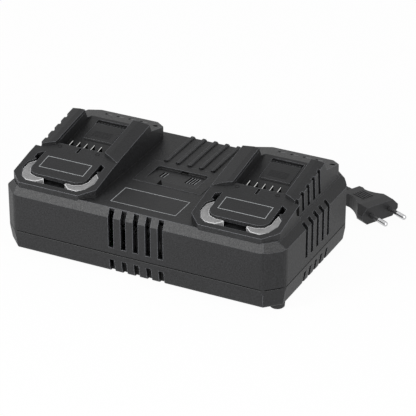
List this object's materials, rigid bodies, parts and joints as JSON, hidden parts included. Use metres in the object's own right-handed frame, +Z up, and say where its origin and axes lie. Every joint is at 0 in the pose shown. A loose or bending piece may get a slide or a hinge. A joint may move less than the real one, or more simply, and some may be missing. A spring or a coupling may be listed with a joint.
{
  "type": "battery charger",
  "caption": "Mains battery charger with two sloping slide-in docks, vent slots, status lenses, fan, and a cord with a flat plug.",
  "frame": {"origin": "middle of the housing's footprint, on the plane that the feet stand on", "axes": "+X to the charger's right along its front, +Y to its back, +Z up"},
  "size_m": [0.2587, 0.2198, 0.0812],
  "materials": {
    "housing_plastic": "fine spark texture",
    "base_plastic": "fine spark texture",
    "foot_rubber": "matt",
    "screw_steel": "zinc plated",
    "lens_plastic": "frosted clear",
    "terminal_plastic": "plain",
    "contact_metal": "tin plated",
    "board": "solder mask",
    "lamp": "clear yellow",
    "ferrite": "sintered",
    "bobbin_plastic": "plain",
    "winding_wire": "enamelled",
    "capacitor_can": "sleeved",
    "sink_metal": "extruded",
    "package_plastic": "moulded",
    "film_capacitor": "plain",
    "fuse_glass": "clear",
    "fan_plastic": "plain",
    "wire_sleeve": "plain",
    "cord_rubber": "smooth",
    "strap": "woven",
    "plug_plastic": "moulded",
    "pin_metal": "nickel plated"
  },
  "bodies": {
    "charger": {"top_housing": "housing_plastic", "base_shell": "base_plastic", "rubber_feet": "foot_rubber", "housing_screws": "screw_steel", "dock_1_lens_left": "lens_plastic", "dock_1_lens_right": "lens_plastic", "dock_2_lens_left": "lens_plastic", "dock_2_lens_right": "lens_plastic", "dock_1_terminal_block": "terminal_plastic", "dock_2_terminal_block": "terminal_plastic", "dock_1_blades": "contact_metal", "dock_2_blades": "contact_metal", "terminal_screws": "screw_steel", "dock_1_wires": "wire_sleeve", "dock_2_wires": "wire_sleeve", "dock_1_light_board": "board", "dock_2_light_board": "board", "status_leds": "lamp", "main_board": "board", "board_screws": "screw_steel", "transformer_core": "ferrite", "transformer_bobbin": "bobbin_plastic", "transformer_winding": "winding_wire", "bulk_capacitors": "capacitor_can", "output_capacitors": "capacitor_can", "heat_sinks": "sink_metal", "power_transistors": "package_plastic", "choke_core": "ferrite", "choke_winding": "winding_wire", "filter_capacitor": "film_capacitor", "fuse": "fuse_glass", "fan_frame": "fan_plastic", "fan_stator": "winding_wire", "cord_gland": "cord_rubber", "cord_clamp": "terminal_plastic", "clamp_screws": "screw_steel", "mains_wires": "wire_sleeve", "supply_cord": "cord_rubber", "cord_coil": "cord_rubber", "plug_cord": "cord_rubber", "cord_tie": "strap", "plug_boot": "plug_plastic", "plug_body": "plug_plastic", "plug_sleeves": "plug_plastic", "plug_pins": "pin_metal"},
    "fan_wheel": {"fan_rotor": "fan_plastic"}
  },
  "joints": [
    {"name": "fan_spin", "type": "hinge", "parent": "charger", "child": "fan_wheel", "pos_m": [0, -0.0573, 0.0318], "axis": [0, 1, 0], "continuous": true}
  ]
}
